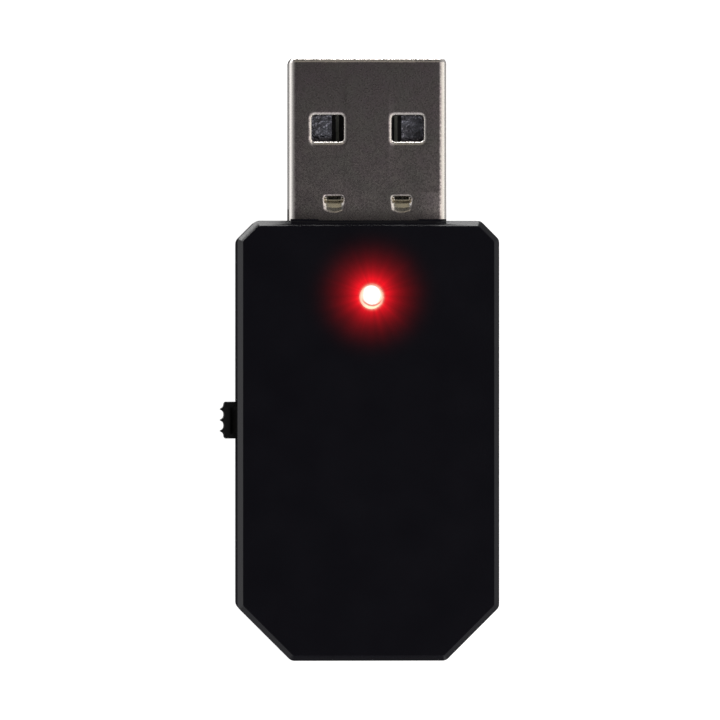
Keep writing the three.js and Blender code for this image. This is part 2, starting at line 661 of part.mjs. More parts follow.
add("circuit_board", circuitBoard(), SOLDER_MASK);
add("antenna_trace", antennaTrace(), COPPER);
BOARD_CHIPS.forEach((chip) => add(chip.name, chipBody(chip), chip.material));
BOARD_PASSIVES.forEach((part) => add(part.name, endCappedBody(part), part.material));

add("switch_frame", switchFrame(), NICKEL);
add("switch_base", switchBase(), BLACK_CARRIER);
TERMINAL_YS.forEach((y, i) => add(`switch_terminal_${i + 1}`, switchTerminal(y), CONTACT_PLATE));
add("switch_knob", switchKnob(), BLACK_KNOB);
add("switch_wiper", switchWiper(), BRONZE);

export default adapter;
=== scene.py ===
"""Looks of the USB radio adapter: finer pieces, procedural materials, a pale floor and soft light."""

import math

import bmesh
import bpy
from mathutils import Matrix, Vector


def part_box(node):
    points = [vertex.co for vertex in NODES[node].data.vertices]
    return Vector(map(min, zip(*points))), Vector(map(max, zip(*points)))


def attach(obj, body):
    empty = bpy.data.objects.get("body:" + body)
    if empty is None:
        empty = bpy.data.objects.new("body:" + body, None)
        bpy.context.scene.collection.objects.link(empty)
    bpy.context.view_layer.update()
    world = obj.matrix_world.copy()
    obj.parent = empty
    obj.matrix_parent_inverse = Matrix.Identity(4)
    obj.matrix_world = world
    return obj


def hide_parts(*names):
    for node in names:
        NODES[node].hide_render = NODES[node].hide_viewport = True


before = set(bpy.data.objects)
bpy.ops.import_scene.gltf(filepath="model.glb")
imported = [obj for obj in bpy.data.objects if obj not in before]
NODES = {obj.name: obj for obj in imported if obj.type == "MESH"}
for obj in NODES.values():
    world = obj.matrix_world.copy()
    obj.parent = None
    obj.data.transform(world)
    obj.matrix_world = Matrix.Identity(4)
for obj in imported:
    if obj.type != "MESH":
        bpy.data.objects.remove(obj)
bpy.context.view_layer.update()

MM = 0.001
X, Y, Z = 0, 1, 2
QUARTER_TURN = math.radians(90)


# ---------------------------------------------------------------- places, from the frame

FRONT_LOW, FRONT_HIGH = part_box("front_cover")
SHELL_LOW, SHELL_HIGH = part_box("usb_shell")
CARRIER_LOW, CARRIER_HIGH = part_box("usb_insulator")
LED_LOW, LED_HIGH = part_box("led_base")
KNOB_LOW, KNOB_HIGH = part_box("switch_knob")

FACE_Z = FRONT_HIGH.z
NOSE_Y = FRONT_HIGH.y
WALL_X = FRONT_LOW.x
PLUG_TOP = SHELL_HIGH.z  # what the hinges of the CAD shell's tabs reach up to
PLUG_TIP = SHELL_HIGH.y
WINDOW_Y = PLUG_TIP - 5.3 * MM
SLIT_Y = PLUG_TIP - 10.58 * MM
TAB_X = 2.58 * MM
RIDGE_TOP = CARRIER_LOW.z + 2 * MM
LED_CENTRE = (LED_LOW + LED_HIGH) / 2


# ---------------------------------------------------------------- camera

VIEW_WIDTH = 54.8 * MM  # what the picture's side takes in at the aim's level
SENSOR_WIDTH = 36
CAMERA_DISTANCE = 0.60
CAMERA_TILT = math.radians(2.4)  # how far the camera leans out over the knob's side
CLIP_START, CLIP_END = 0.01, 10
AIM = Vector((-0.54 * MM, 6.12 * MM, FACE_Z - 3 * MM))


def make_camera():
    """A camera that looks down on the front face, with the plug towards the top of the picture."""
    data = bpy.data.cameras.new("camera")
    data.sensor_width = SENSOR_WIDTH
    data.lens = SENSOR_WIDTH * CAMERA_DISTANCE / VIEW_WIDTH
    data.clip_start = CLIP_START
    data.clip_end = CLIP_END
    camera = bpy.data.objects.new("camera", data)
    bpy.context.scene.collection.objects.link(camera)
    away = Vector((-math.sin(CAMERA_TILT), 0, math.cos(CAMERA_TILT)))
    right = Vector((math.cos(CAMERA_TILT), 0, math.sin(CAMERA_TILT)))
    up = away.cross(right)
    turn = Matrix((right, up, away)).transposed().to_4x4()
    camera.matrix_world = Matrix.Translation(AIM + away * CAMERA_DISTANCE) @ turn
    bpy.context.scene.camera = camera


# ---------------------------------------------------------------- material nodes


class Shader:
    """A material's node tree, with short ways to add and link its nodes."""

    def __init__(self, name):
        self.material = bpy.data.materials.new(name)
        self.material.use_nodes = True
        self.tree = self.material.node_tree
        self.surface = self.tree.nodes["Principled BSDF"]
        self.coordinates = self.tree.nodes.new("ShaderNodeTexCoord")
        self.place = self.coordinates.outputs["Object"]

    def set(self, **values):
        """Sets the surface's own values, which are the same all over."""
        for key, value in values.items():
            self.surface.inputs[key.replace("_", " ")].default_value = value
        return self

    def link(self, output, socket):
        self.tree.links.new(output, socket)

    def feed(self, name, output):
        self.link(output, self.surface.inputs[name])

    def math(self, operation, *values):
        node = self.tree.nodes.new("ShaderNodeMath")
        node.operation = operation
        for socket, value in zip(node.inputs, values):
            if isinstance(value, (int, float)):
                socket.default_value = value
            else:
                self.link(value, socket)
        return node.outputs[0]

    def noise(self, size, detail=3.0, stretch=(1, 1, 1), roughness=0.5):
        """Noise whose blobs are about a size across, in metres, drawn out along an axis by a stretch."""
        mapping = self.tree.nodes.new("ShaderNodeMapping")
        mapping.inputs["Scale"].default_value = [1 / (size * s) for s in stretch]
        self.link(self.place, mapping.inputs["Vector"])
        node = self.tree.nodes.new("ShaderNodeTexNoise")
        node.inputs["Scale"].default_value = 1
        node.inputs["Detail"].default_value = detail
        node.inputs["Roughness"].default_value = roughness
        self.link(mapping.outputs[0], node.inputs["Vector"])
        return node.outputs["Fac"]

    def product(self, *values):
        result = values[0]
        for value in values[1:]:
            result = self.math("MULTIPLY", result, value)
        return result

    def gap(self, value, centre):
        """How far a value is from a centre, either way."""
        return self.math("ABSOLUTE", self.math("SUBTRACT", value, centre))

    def fall(self, distance, start, reach):
        """1 up to a start, and from there on down by a factor of e in each reach."""
        steps = self.math("DIVIDE", self.math("SUBTRACT", start, distance), reach)
        return self.math("EXPONENT", self.math("MINIMUM", steps, 0.0))

    def span(self, value, low, high, out_low, out_high, smooth=False):
        """Maps a value from one span to another, held at both ends."""
        node = self.tree.nodes.new("ShaderNodeMapRange")
        node.interpolation_type = "SMOOTHSTEP" if smooth else "LINEAR"
        self.link(value, node.inputs[0])
        for socket, number in zip(list(node.inputs)[1:5], (low, high, out_low, out_high)):
            socket.default_value = number
        return node.outputs[0]

    def mix(self, amount, first, second):
        """Blends two colours, each a triple or an output."""
        node = self.tree.nodes.new("ShaderNodeMix")
        node.data_type = "RGBA"
        self.link(amount, node.inputs["Factor"])
        for socket, colour in ((node.inputs[6], first), (node.inputs[7], second)):
            if isinstance(colour, tuple):
                socket.default_value = (*colour, 1)
            else:
                self.link(colour, socket)
        return node.outputs[2]

    def blend(self, value, low, high, first, second, most=1, smooth=False):
        """Goes from the first colour towards the second while a value goes from low to high."""
        return self.mix(self.span(value, low, high, 0, most, smooth), first, second)

    def vary(self, noise, low, high):
        """Spreads noise, which lies mostly between 0.3 and 0.7, from low to high."""
        return self.span(noise, 0.3, 0.7, low, high)

    def bump(self, height, depth):
        """Bumps the surface by a height of 0 to 1, where 1 stands a depth proud, in metres."""
        node = self.tree.nodes.new("ShaderNodeBump")
        node.inputs["Strength"].default_value = 1
        node.inputs["Distance"].default_value = depth
        self.link(height, node.inputs["Height"])
        self.feed("Normal", node.outputs[0])

    def parts(self):
        """The X, Y and Z of the place."""
        node = self.tree.nodes.new("ShaderNodeSeparateXYZ")
        self.link(self.place, node.inputs[0])
        return node.outputs

    def distance_from(self, x, y, tall=1.0):
        """Distance from an upright axis, for ovals round it that are so many times as tall as wide."""
        px, py, _ = self.parts()
        dx = self.math("SUBTRACT", px, x)
        dy = self.math("DIVIDE", self.math("SUBTRACT", py, y), tall)
        square = self.math("ADD", self.product(dx, dx), self.product(dy, dy))
        return self.math("SQRT", square)

    def rays(self, x, y, fineness):
        """Noise that changes only with the direction from an upright axis."""
        px, py, _ = self.parts()
        across = self.tree.nodes.new("ShaderNodeCombineXYZ")
        self.link(self.math("SUBTRACT", px, x), across.inputs[0])
        self.link(self.math("SUBTRACT", py, y), across.inputs[1])
        unit = self.tree.nodes.new("ShaderNodeVectorMath")
        unit.operation = "NORMALIZE"
        self.link(across.outputs[0], unit.inputs[0])
        node = self.tree.nodes.new("ShaderNodeTexNoise")
        node.inputs["Scale"].default_value = fineness
        self.link(unit.outputs[0], node.inputs["Vector"])
        return node.outputs["Fac"]


# ---------------------------------------------------------------- materials

# The painted glow round the indicator, emitted by the housing's own surface: where its middle is, where it
# starts to fall off and how fast, how bright it is before that, and where it fades out. Next to the hole it
# is pink.
GLOW_X = LED_CENTRE.x + 0.05 * MM
GLOW_Y = LED_CENTRE.y + 0.2 * MM
GLOW_START = 1.2 * MM
GLOW_REACH = 0.69 * MM
GLOW_LEVEL = 0.86
GLOW_END = (3.0 * MM, 5.6 * MM)
GLOW_RED = (1.0, 0.005, 0.014)
PINK_X = LED_CENTRE.x + 0.03 * MM
PINK_Y = LED_CENTRE.y + 0.03 * MM
PINK_START = 0.9 * MM
PINK_REACH = 0.055 * MM
PINK_TALL = 1.06
GLOW_PINK = (1.0, 0.36, 0.27)


def housing_plastic():
    """Gloss black moulding, whose surface round the indicator's hole emits a painted red halo with painted
    rays.
    """
    look = Shader("housing_plastic").set(IOR=1.4)
    fine = look.noise(0.12 * MM, 4)
    broad = look.noise(4 * MM, 2)
    look.feed("Base Color", look.blend(broad, 0.3, 0.7, (0.0066, 0.0061, 0.0106), (0.0078, 0.0072, 0.0124)))
    look.feed("Roughness", look.math("ADD", look.vary(broad, 0.2, 0.24), look.vary(fine, -0.02, 0.02)))
    look.bump(fine, 0.0006 * MM)
    # Painted glow: the surface itself emits red light round the indicator, with painted rays spreading out
    # from it.
    away = look.distance_from(GLOW_X, GLOW_Y)
    painted_glow = look.product(look.fall(away, GLOW_START, GLOW_REACH), GLOW_LEVEL)
    fade = look.span(away, *GLOW_END, 1, 0, smooth=True)
    height = look.span(look.parts()[Z], FACE_Z - 1.3 * MM, FACE_Z - 0.2 * MM, 0, 1)
    painted_rays = look.vary(look.rays(GLOW_X, GLOW_Y, 5.0), 0.84, 1.16)
    uneven = look.vary(look.noise(1.1 * MM, 3), 0.95, 1.05)
    look.feed("Emission Strength", look.product(painted_glow, fade, height, painted_rays, uneven))
    pink = look.fall(look.distance_from(PINK_X, PINK_Y, PINK_TALL), PINK_START, PINK_REACH)
    look.feed("Emission Color", look.mix(pink, GLOW_RED, GLOW_PINK))
    return look.material


def metal(name, bright, dull, roughness, grain=0.07 * MM, depth=0.0025 * MM):
    """Plated sheet with a fine grain and a faint broad mottle."""
    look = Shader(name).set(Metallic=1.0)
    fine = look.noise(grain, 3, roughness=0.7)
    broad = look.noise(1.6 * MM, 3)
    look.feed("Base Color", look.blend(broad, 0.3, 0.7, bright, dull))
    coarse = look.vary(broad, roughness - 0.03, roughness + 0.03)
    look.feed("Roughness", look.math("ADD", coarse, look.vary(fine, -0.05, 0.05)))
    look.bump(fine, depth)
    return look.material


def moulded(name, colour, paler, roughness, grain=0.15 * MM, depth=0.002 * MM):
    """Moulded resin or sintered ceramic with a fine texture."""
    look = Shader(name).set(IOR=1.5)
    fine = look.noise(grain, 4)
    broad = look.noise(1.5 * MM, 2)
    look.feed("Base Color", look.blend(fine, 0.35, 0.7, colour, paler))
    look.feed("Roughness", look.vary(broad, roughness - 0.04, roughness + 0.04))
    look.bump(fine, depth)
    return look.material


def light_guide():
    """The light pipe's lit end: a white middle, a pink rim, and below the middle a line and a pale patch."""
    white, warm, yellow = (1.0, 0.98, 0.96), (1.0, 0.78, 0.58), (1.0, 0.93, 0.62)
    pink, red = (1.0, 0.34, 0.25), (0.68, 0.16, 0.11)
    look = Shader("light_guide").set(IOR=1.5, Roughness=0.12)
    x, y = PINK_X, LED_CENTRE.y
    upwards = look.parts()[Y]
    swirl = look.vary(look.noise(0.35 * MM, 2), -0.03 * MM, 0.03 * MM)
    core = look.math("ADD", look.distance_from(x, y + 0.19 * MM, 1.22), swirl)
    colour = look.blend(core, 0.56 * MM, 0.7 * MM, white, warm, smooth=True)
    patch = look.span(upwards, y - 0.66 * MM, y - 0.58 * MM, 1, 0, smooth=True)
    colour = look.mix(patch, colour, yellow)
    away = look.distance_from(x, y, PINK_TALL)
    colour = look.blend(away, 0.77 * MM, 0.9 * MM, colour, pink, most=0.8, smooth=True)
    arc = look.math("ADD", look.distance_from(x + 0.04 * MM, y + 0.16 * MM), swirl)
    line = look.span(look.gap(arc, 0.79 * MM), 0.03 * MM, 0.1 * MM, 1, 0, smooth=True)
    lower = look.span(upwards, y - 0.55 * MM, y + 0.1 * MM, 1, 0, smooth=True)
    look.feed("Emission Color", look.mix(look.product(line, lower), colour, red))
    look.feed("Emission Strength", look.span(core, 0.45 * MM, 0.7 * MM, 1.4, 0.97, smooth=True))
    look.feed("Base Color", look.blend(away, 0.7 * MM, 0.9 * MM, (0.4, 0.35, 0.34), (0.3, 0.12, 0.1)))
    return look.material


def plug_steel():
    """Plated sheet: grained on top, with broad purple and green patches painted in as reflected tints, darker
    towards its tip, painted shade next to the housing, a painted cream highlight where it turns down, and a
    painted yellow reflection on the pressed tabs.
    """
    look = Shader("plug_steel").set(Metallic=1.0)
    fine = look.noise(0.15 * MM, 2, roughness=0.7)
    purple = look.noise(0.9 * MM, 3)
    green = look.noise(2.2 * MM, 2)
    x, y, z = look.parts()
    ground = look.blend(y, PLUG_TIP - 11 * MM, PLUG_TIP, (1.0, 0.88, 0.85), (0.56, 0.48, 0.49))
    # Broad purple and green patches: painted reflection tints, not stains.
    ground = look.blend(purple, 0.35, 0.65, ground, (0.66, 0.52, 0.59), most=0.5)
    ground = look.blend(green, 0.42, 0.66, ground, (0.66, 0.69, 0.60), most=0.4)
    # Painted shade: darker next to the housing's nose, where the nose wall shades the sheet.
    painted_foot_shade = look.span(y, NOSE_Y, NOSE_Y + 1.2 * MM, 0.6, 0, smooth=True)
    ground = look.mix(painted_foot_shade, ground, (0.22, 0.18, 0.17))
    ground = look.blend(fine, 0.455, 0.565, ground, (0.30, 0.265, 0.265), most=0.75)
    # Painted highlight: a brighter, cream colour wherever the sheet turns down from its top face.
    turned = look.span(z, PLUG_TOP - 0.07 * MM, PLUG_TOP - 0.012 * MM, 1, 0)
    ground = look.mix(turned, ground, (0.96, 0.91, 0.87))
    # Painted reflection: the pressed tabs are tinted yellow for the warm light their curves reflect.
    across = look.span(look.gap(look.math("ABSOLUTE", x), TAB_X), 0.5 * MM, 0.62 * MM, 1, 0)
    after = look.span(y, SLIT_Y - 1.3 * MM, SLIT_Y - 1.2 * MM, 0, 1)
    before = look.span(y, SLIT_Y + 0.3 * MM, SLIT_Y + 0.4 * MM, 1, 0)
    pressed = look.product(across, turned, after, before)
    look.feed("Base Color", look.mix(pressed, ground, (0.74, 0.67, 0.54)))
    look.feed("Roughness", look.span(fine, 0.35, 0.65, 0.2, 0.29))
    look.bump(fine, 0.005 * MM)
    return look.material


def contact_plating():
    """Satin plating with scuffs, which catch the light, and darker worn patches."""
    look = Shader("contact_plating").set(Metallic=1.0)
    fine = look.noise(0.14 * MM, 3, roughness=0.7)
    scuff = look.noise(0.3 * MM, 3, stretch=(1.6, 1, 1))
    worn = look.noise(0.7 * MM, 2)
    ground = look.blend(worn, 0.35, 0.65, (0.84, 0.85, 1.0), (0.42, 0.41, 0.47))
    # Painted shade: darker at the housing end of the window, where the shell shades the contact.
    painted_foot_shade = look.span(look.parts()[Y], WINDOW_Y - 0.75 * MM, WINDOW_Y - 0.45 * MM, 0.85, 0, smooth=True)
    ground = look.mix(painted_foot_shade, ground, (0.13, 0.11, 0.12))
    look.feed("Base Color", look.blend(fine, 0.4, 0.66, ground, (0.22, 0.21, 0.24), most=0.7))
    look.feed("Roughness", look.vary(fine, 0.22, 0.34))
    look.bump(scuff, 0.11 * MM)
    return look.material


def carrier_plastic():
    """Black moulding whose raised parts are painted paler as a highlight."""
    look = Shader("carrier_plastic").set(IOR=1.5)
    fine = look.noise(0.12 * MM, 4)
    black = look.blend(fine, 0.35, 0.7, (0.008, 0.008, 0.009), (0.016, 0.015, 0.016))
    raised = look.span(look.parts()[Z], RIDGE_TOP - 0.1 * MM, RIDGE_TOP - 0.04 * MM, 0, 1)
    painted_highlight_noise = look.span(fine, 0.3, 0.6, 0.7, 1)
    forward = look.span(look.parts()[Y], NOSE_Y + 2.6 * MM, NOSE_Y + 2.7 * MM, 0, 1)
    # Painted highlight: the ridge tops towards the tip are paler, unevenly.
    look.feed("Base Color", look.mix(look.product(raised, painted_highlight_noise, forward), black, (0.26, 0.27, 0.24)))
    look.feed("Roughness", look.vary(fine, 0.3, 0.42))
    look.bump(fine, 0.003 * MM)
    return look.material


def lens_epoxy():
    """Red epoxy lit from inside by the die, brighter over the middle of the lens."""
    look = Shader("led_lens").set(IOR=1.52, Roughness=0.15)
    away = look.distance_from(LED_CENTRE.x, LED_CENTRE.y)
    cloudy = look.noise(0.15 * MM, 3)
    look.feed("Base Color", look.blend(cloudy, 0.3, 0.7, (0.75, 0.03, 0.02), (0.9, 0.08, 0.05)))
    look.feed("Emission Color", look.blend(away, 0, 0.5 * MM, (1, 0.45, 0.35), (1, 0.03, 0.02)))
    look.feed("Emission Strength", look.span(away, 0.1 * MM, 0.6 * MM, 1.6, 0.5))
    return look.material


def board_laminate():
    """Solder mask with printed tracks under it, and bare laminate at the board's cut edges."""
    look = Shader("board_laminate").set(IOR=1.5)
    px, py, _ = look.parts()
    diagonal = look.math("ADD", px, py)
    tracks = []
    for coordinate, pitch, patch in ((px, 0.9, 3.1), (py, 1.1, 2.3), (diagonal, 1.5, 2.7)):
        lane = look.math("FRACT", look.math("DIVIDE", coordinate, pitch * MM))
        stripe = look.span(look.gap(lane, 0.5), 0.07, 0.1, 1, 0)
        where = look.span(look.noise(patch * MM, 0), 0.54, 0.56, 0, 1)
        tracks.append(look.product(stripe, where))
    track = look.math("MAXIMUM", look.math("MAXIMUM", tracks[0], tracks[1]), tracks[2])
    fine = look.noise(0.1 * MM, 3)
    green = look.blend(fine, 0.3, 0.7, (0.008, 0.055, 0.024), (0.012, 0.068, 0.030))
    top = look.mix(track, green, (0.022, 0.13, 0.05))
    normal = look.tree.nodes.new("ShaderNodeSeparateXYZ")
    look.link(look.coordinates.outputs["Normal"], normal.inputs[0])
    edge = look.span(look.math("ABSOLUTE", normal.outputs[Z]), 0.4, 0.6, 1, 0)
    weave = look.noise(0.25 * MM, 2, stretch=(1, 1, 0.2))
    laminate = look.blend(weave, 0.35, 0.65, (0.32, 0.27, 0.13), (0.42, 0.36, 0.19))
    look.feed("Base Color", look.mix(edge, top, laminate))
    look.feed("Roughness", look.math("ADD", look.span(edge, 0, 1, 0.25, 0.6), look.vary(fine, -0.03, 0.03)))
    look.bump(track, 0.02 * MM)
    return look.material


CAP_START = 0.5  # where a cap starts, as a share of the way from the middle of its body to the end
CAP_BLUR = 0.01 * MM


def end_capped(node, colour, paler, roughness):
    """A ceramic body with tinned ends. The ends are told by their distance along its longer side."""
    low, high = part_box(node)
    axis = Y if high.y - low.y > high.x - low.x else X
    half = (high[axis] - low[axis]) / 2
    start = half * CAP_START
    look = Shader(node).set(IOR=1.5)
    offset = look.gap(look.parts()[axis], (low[axis] + high[axis]) / 2)
    cap = look.span(offset, start - CAP_BLUR, start + CAP_BLUR, 0, 1)
    fine = look.noise(0.08 * MM, 3)
    look.feed("Base Color", look.mix(cap, look.blend(fine, 0.3, 0.7, colour, paler), (0.62, 0.61, 0.59)))
    look.feed("Metallic", cap)
    grain = look.vary(fine, -0.06, 0.06)
    look.feed("Roughness", look.math("ADD", look.span(cap, 0, 1, roughness, 0.34), grain))
    look.bump(fine, 0.004 * MM)
    return look.material


MATERIALS = {
    "housing_plastic": housing_plastic(),
    "light_guide": light_guide(),
    "plug_steel": plug_steel(),
    "carrier_plastic": carrier_plastic(),
    "contact_plating": contact_plating(),
    "led_carrier": moulded("led_carrier", (0.82, 0.80, 0.73), (0.88, 0.86, 0.80), 0.4),
    "led_lens": lens_epoxy(),
    "board_laminate": board_laminate(),
    "antenna_copper": metal("antenna_copper", (0.70, 0.38, 0.20), (0.60, 0.32, 0.17), 0.33),
    "chip_resin": moulded("chip_resin", (0.010, 0.010, 0.011), (0.022, 0.022, 0.023), 0.5, 0.06 * MM),
    "crystal_can": metal("crystal_can", (0.72, 0.70, 0.66), (0.60, 0.58, 0.55), 0.3),
    "ferrite": moulded("ferrite", (0.05, 0.046, 0.042), (0.10, 0.094, 0.086), 0.6, 0.05 * MM, 0.004 * MM),
    "switch_steel": metal("switch_steel", (0.66, 0.64, 0.60), (0.54, 0.52, 0.49), 0.28),
    "switch_resin": moulded("switch_resin", (0.012, 0.012, 0.013), (0.024, 0.024, 0.025), 0.45),
    "wiper_bronze": metal("wiper_bronze", (0.72, 0.48, 0.24), (0.60, 0.38, 0.18), 0.26),
    "knob_plastic": moulded("knob_plastic", (0.004, 0.004, 0.0045), (0.006, 0.006, 0.0065), 0.42),
}


# ---------------------------------------------------------------- pieces and mesh tools

SHARP_ANGLE = math.radians(40)
NORMAL_WEIGHT = 80


def finish_piece(name, mesh, slot, body, replaced, material=None):
    """Makes a piece of a mesh, with flat faces that look flat and round ones that look round."""
    piece = bpy.data.objects.new(name, mesh)
    bpy.context.scene.collection.objects.link(piece)
    mesh.materials.clear()
    mesh.materials.append(material or MATERIALS[slot])
    mesh.polygons.foreach_set("use_smooth", [True] * len(mesh.polygons))
    mesh.set_sharp_from_angle(angle=SHARP_ANGLE)
    weigh = piece.modifiers.new("weighted_normals", "WEIGHTED_NORMAL")
    weigh.keep_sharp = True
    weigh.weight = NORMAL_WEIGHT
    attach(piece, body)
    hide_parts(*replaced)
    return piece


def mesh_of(bm, name):
    """Turns the working mesh into a kept one whose faces all look outwards."""
    bmesh.ops.recalc_face_normals(bm, faces=bm.faces)
    mesh = bpy.data.meshes.new(name)
    bm.to_mesh(mesh)
    bm.free()
    return mesh


def loft(name, rings, looped=False):
    """A closed mesh through rings of as many points each. Its ends are capped, or joined if it is looped."""
    bm = bmesh.new()
    rows = [[bm.verts.new(point) for point in ring] for ring in rings]
    pairs = list(zip(rows, rows[1:] + rows[:1] if looped else rows[1:]))
    for low, high in pairs:
        for i in range(len(low)):
            j = (i + 1) % len(low)
            bm.faces.new((low[i], low[j], high[j], high[i]))
    if not looped:
        bm.faces.new(rows[0])
        bm.faces.new(rows[-1])
    return mesh_of(bm, name)


def rounded_outline(half_x, half_y, radius, steps=6):
    """Points round a rectangle with round corners."""
    points = []
    for quarter, (sx, sy) in enumerate(((1, 1), (-1, 1), (-1, -1), (1, -1))):
        for step in range(steps + 1):
            turn = QUARTER_TURN * (quarter + step / steps)
            x = sx * (half_x - radius) + radius * math.cos(turn)
            y = sy * (half_y - radius) + radius * math.sin(turn)
            points.append((x, y))
    return points


def combined(mesh, others, operation):
    """The mesh joined with, or cut by, other closed meshes."""
    base = bpy.data.objects.new("base", mesh)
    helpers = [bpy.data.objects.new("helper", other) for other in others]
    for item in [base, *helpers]:
        bpy.context.scene.collection.objects.link(item)
    for helper in helpers:
        modifier = base.modifiers.new("boolean", "BOOLEAN")
        modifier.operation = operation
        modifier.solver = "EXACT"
        modifier.object = helper
    bpy.context.view_layer.update()
    shape = base.evaluated_get(bpy.context.evaluated_depsgraph_get())
    result = bpy.data.meshes.new_from_object(shape)
    for item in [base, *helpers]:
        old = item.data
        bpy.data.objects.remove(item)
        bpy.data.meshes.remove(old)
    return result


def box_mesh(name, low, high):
    """A box between its lowest and highest corners."""
    corners = ((low[X], low[Y]), (high[X], low[Y]), (high[X], high[Y]), (low[X], high[Y]))
    return loft(name, [[(x, y, z) for x, y in corners] for z in (low[Z], high[Z])])


# ---------------------------------------------------------------- plug shell

SHELL_HEIGHT = 4.5 * MM
SHELL_WALL = 0.3 * MM
SHELL_CORNER = 0.6 * MM
# The rounding of the tip's outer edge, as how far in and how far back from the tip, in millimetres.
TIP_SLOPE = ((0, 0.31), (0.025, 0.24), (0.09, 0.07), (0.13, 0.02), (0.18, 0))
TIP_LEAD = 0.06 * MM  # the chamfer of its inner edge
SEAM_HALF = 0.03 * MM
LEG_LENGTH = 1.4 * MM
LEG_SPAN = (-1.9 * MM, 0.6 * MM)  # the legs' lower and upper ends, from the middle of the shell's height
CORNER_STEPS = 8

WINDOW_X = 3.04 * MM
WINDOW_HALF = (1.21 * MM, 1.0 * MM)
WINDOW_CORNER = 0.26 * MM
WINDOW_FLARE = (0.3 * MM, 0.46 * MM, 0.36 * MM)  # at its sides, its housing side and its tip side
WINDOW_ROLL = 0.2 * MM  # how deep the rounding of a window's edge goes
ROLL_STEPS = 5
CUT_IN, CUT_OUT = 1.2 * MM, 0.2 * MM  # how far a window's cutter reaches in and out of the surface

SLIT_HALF = (0.57 * MM, 0.075 * MM)
SLIT_ENDS = 0.98  # how round the slit's ends are, where 1 is a half circle
SLIT_ROLL = 0.12 * MM  # how far the sheet rolls in at the slit's edge, and over what distance
SLIT_ROLL_REACH = 0.24 * MM
TAB_HALF = (0.54 * MM, 0.83 * MM)  # where its sides start to rise and where they end
# How deep a tab is pressed in at distances from its slit towards the housing, in millimetres.
TAB_PROFILE = ((0, 0.37), (0.11, 0.355), (0.17, 0.32), (0.33, 0.21), (0.4, 0.18), (0.62, 0.085), (0.7, 0.06))
TAB_PROFILE += ((0.92, 0.05), (1.1, -0.01), (1.2, 0))
TAB_BLUR = (-0.03, 0, 0.03)
TAB_BOW = (0.3, 0.8 * MM)  # its profile is 1 + 0.3 times shorter this far from its middle line
TAB_REACH = (1.0 * MM, 0.45 * MM, 1.6 * MM)  # how far it is pressed in: sideways, tipwards and housingwards
TAB_GRID = 0.035 * MM
NEARNESS = 1e-8  # points closer than this to a cutting plane lie on it
LEVEL = 0.9  # the upright part of a face's normal, past which the face counts as level


def window_cutter(centre, surface, inward):
    """Cuts a latch window whose edge is rounded over at a surface. Inward is the way in along Z."""
    side, low, high = WINDOW_FLARE
    rings = []

    def ring(share, depth):
        grow = share * (low + high) / 2
        half_y = WINDOW_HALF[1] + grow
        outline = rounded_outline(WINDOW_HALF[0] + share * side, half_y, WINDOW_CORNER + share * side)
        shift = share * (high - low) / 2
        z = surface + inward * depth
        rings.append([(centre[0] + x, centre[1] + y + shift, z) for x, y in outline])

    ring(0, CUT_IN)
    for step in range(ROLL_STEPS + 1):
        turn = QUARTER_TURN * step / ROLL_STEPS
        ring(1 - math.cos(turn), WINDOW_ROLL * (1 - math.sin(turn)))
    ring(1, -CUT_OUT)
    return loft("window", rings)


def slit_cutter(x, y, top):
    """Cuts the narrow slit at a tab's free end."""
    outline = rounded_outline(SLIT_HALF[0], SLIT_HALF[1], SLIT_HALF[1] * SLIT_ENDS)
    rings = [[(x + u, y + v, z) for u, v in outline] for z in (top - MM, top + MM)]
    return loft("slit", rings)


def profile_at(table, at):
    """Reads a table of points, going straight from each to the next."""
    if at <= table[0][0]:
        return table[0][1]
    for (x0, y0), (x1, y1) in zip(table, table[1:]):
        if at < x1:
            return y0 + (y1 - y0) * (at - x0) / (x1 - x0)
    return table[-1][1]


def tab_dent(u, v):
    """How deep the shell is pressed in at a tab, at u across it and v from its slit towards the housing."""
    over = max(abs(u) - SLIT_HALF[0], 0)
    gap = math.hypot(over, v) - SLIT_HALF[1]
    rolled = SLIT_ROLL * max(1 - max(gap, 0) / SLIT_ROLL_REACH, 0) ** 2
    if v < 0:
        return rolled
    across = min(max((abs(u) - TAB_HALF[0]) / (TAB_HALF[1] - TAB_HALF[0]), 0), 1)
    across = 1 - across * across * (3 - 2 * across)
    along = (v - SLIT_HALF[1]) / MM
    along *= 1 + TAB_BOW[0] * (u / TAB_BOW[1]) ** 2
    soft = [profile_at(TAB_PROFILE, along + shift) for shift in TAB_BLUR]
    return max(rolled * (1 - across), across * MM * sum(soft) / len(soft))


def press_tabs(mesh, top):
    """Cuts the top of the shell into a fine grid round each tab and presses the grid in."""
    bm = bmesh.new()
    bm.from_mesh(mesh)
    reach_x, ahead, behind = TAB_REACH

    def sheet():
        """What makes up the shell's flat top, inside and out."""
        faces = [f for f in bm.faces if f.calc_center_median().z > top - 1.5 * SHELL_WALL]
        faces = [f for f in faces if abs(f.normal.z) > LEVEL]
        edges = {e for f in faces for e in f.edges}
        verts = {v for f in faces for v in f.verts}
        return [*faces, *edges, *verts]

    def cuts(low, high):
        """Places of the cuts between two ends."""
        count = round((high - low) / TAB_GRID)
        return [low + (high - low) * i / count for i in range(count + 1)]

    for y in cuts(SLIT_Y - behind, SLIT_Y + ahead):
        bmesh.ops.bisect_plane(bm, geom=sheet(), plane_co=(0, y, 0), plane_no=(0, 1, 0), dist=NEARNESS)
    for side in (-1, 1):
        for x in cuts(side * TAB_X - reach_x, side * TAB_X + reach_x):
            bmesh.ops.bisect_plane(bm, geom=sheet(), plane_co=(x, 0, 0), plane_no=(1, 0, 0), dist=NEARNESS)
    for vert in bm.verts:
        side = math.copysign(1, vert.co.x)
        u, v = vert.co.x - side * TAB_X, SLIT_Y - vert.co.y
        if vert.co.z > top - 1.1 * SHELL_WALL and abs(u) < reach_x and -ahead < v < behind:
            vert.co.z -= tab_dent(u, v)
    bm.to_mesh(mesh)
    bm.free()


